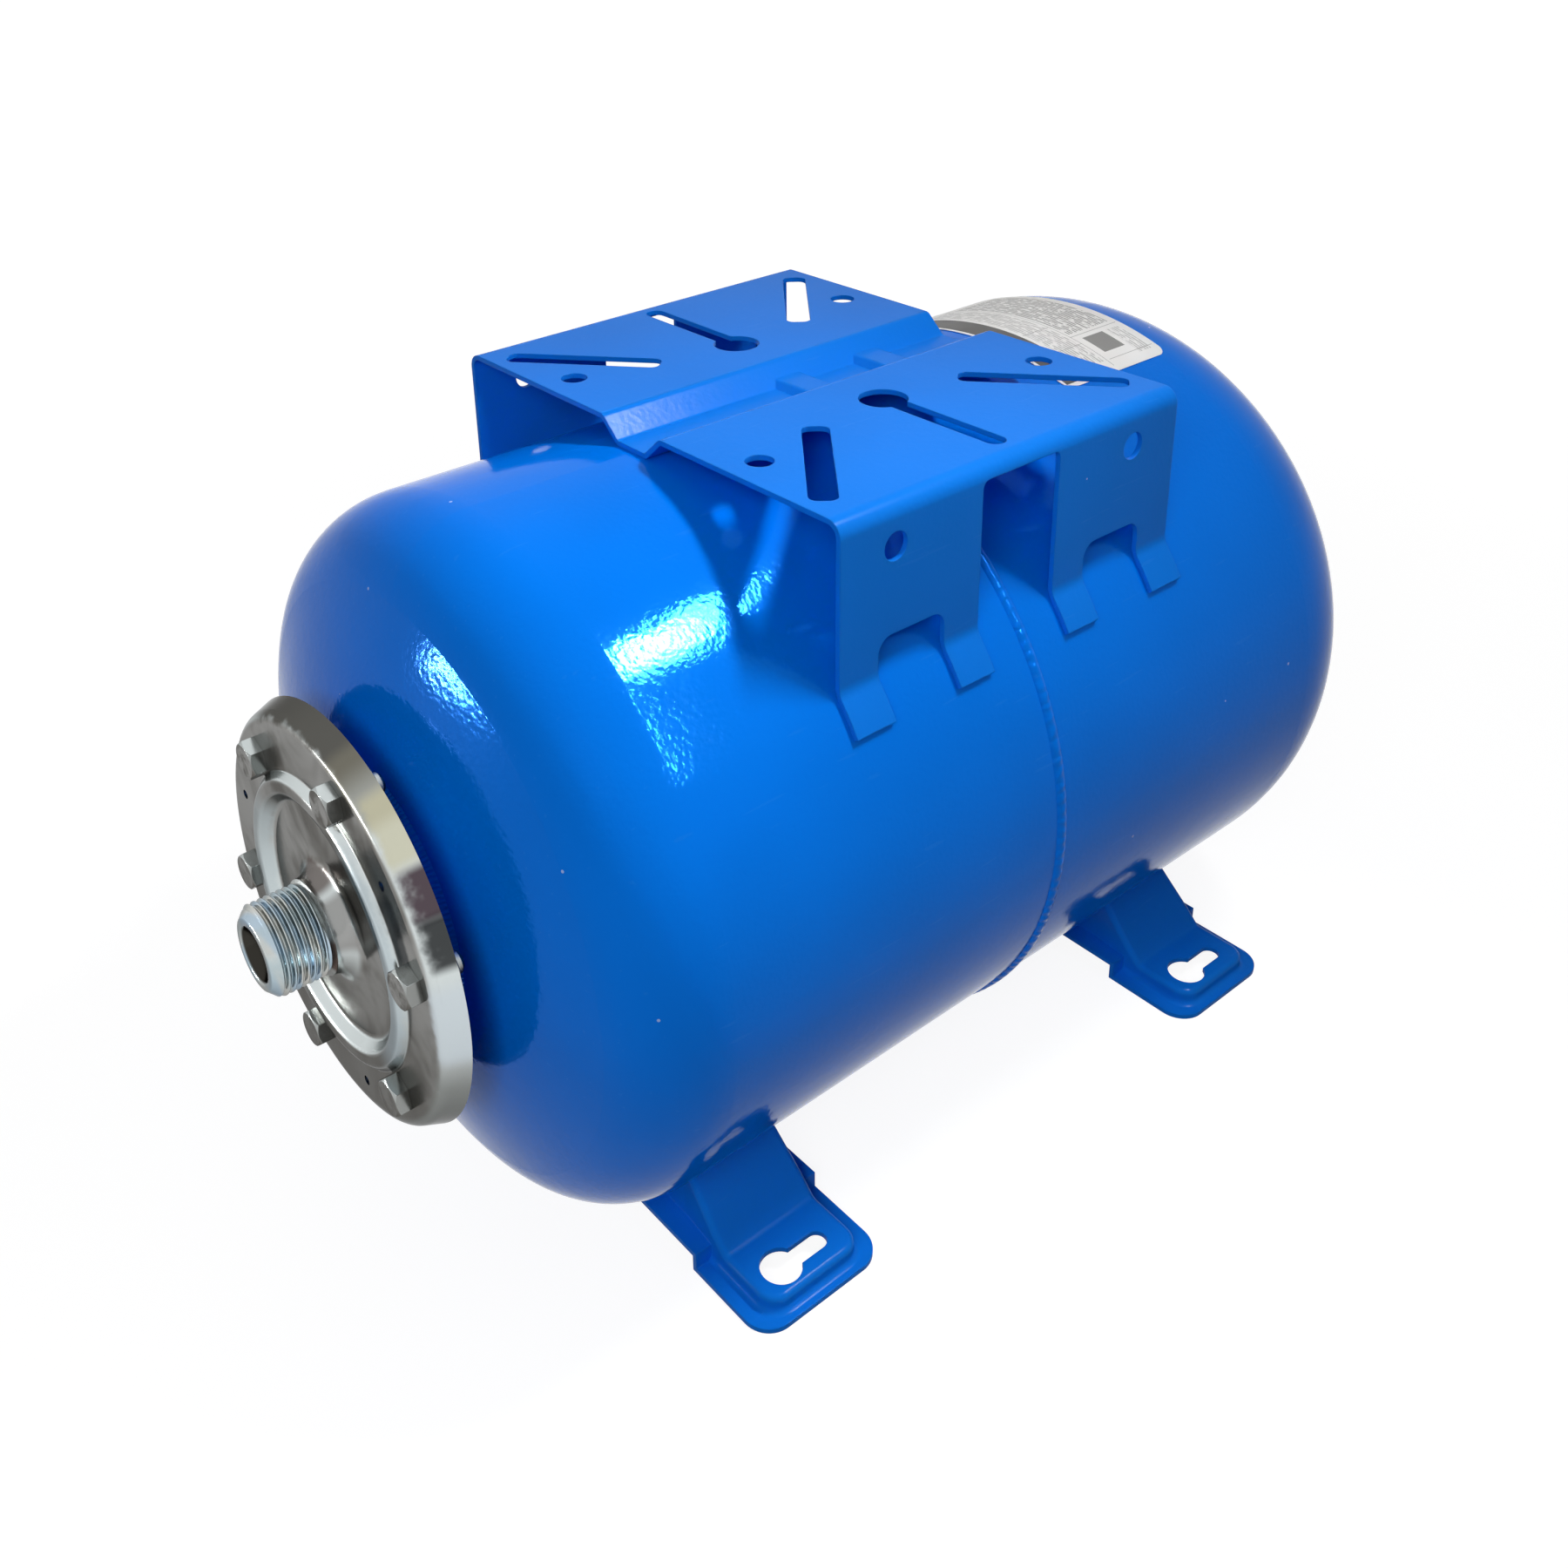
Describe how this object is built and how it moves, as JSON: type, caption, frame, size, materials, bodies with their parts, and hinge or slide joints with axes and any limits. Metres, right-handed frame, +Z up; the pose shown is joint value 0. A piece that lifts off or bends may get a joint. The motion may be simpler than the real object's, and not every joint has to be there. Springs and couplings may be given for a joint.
{
  "type": "well pressure tank",
  "caption": "Horizontal cylindrical pressure tank with a flanged threaded inlet, a pressed pump platform on top and two bracket feet.",
  "frame": {"origin": "on the floor, below the middle of the whole length", "axes": "+X from the inlet to the air valve, +Y to the far side, +Z up"},
  "size_m": [0.508, 0.2726, 0.289],
  "materials": {
    "tank_paint": "gloss",
    "bracket_paint": "gloss",
    "zinc_plate": "satin",
    "zinc_fasteners": "satin",
    "membrane_rubber": "matt",
    "valve_brass": "satin",
    "spring_steel": "satin",
    "cap_plastic": "matt",
    "label_film": "satin"
  },
  "bodies": {
    "root": {"front_shell": "tank_paint", "rear_shell": "tank_paint", "girth_weld": "tank_paint", "tank_flange": "tank_paint", "neck_weld": "tank_paint", "counter_flange": "zinc_plate", "inlet_nipple": "zinc_plate", "nipple_weld": "zinc_plate", "flange_bolts": "zinc_fasteners", "flange_nuts": "zinc_fasteners", "bladder": "membrane_rubber", "pump_platform": "bracket_paint", "front_foot_bracket": "bracket_paint", "rear_foot_bracket": "bracket_paint", "valve_stem": "valve_brass", "valve_core": "valve_brass", "valve_pin": "valve_brass", "valve_spring": "spring_steel", "valve_cap": "cap_plastic", "valve_cover": "cap_plastic", "data_label": "label_film"}
  },
  "joints": []
}
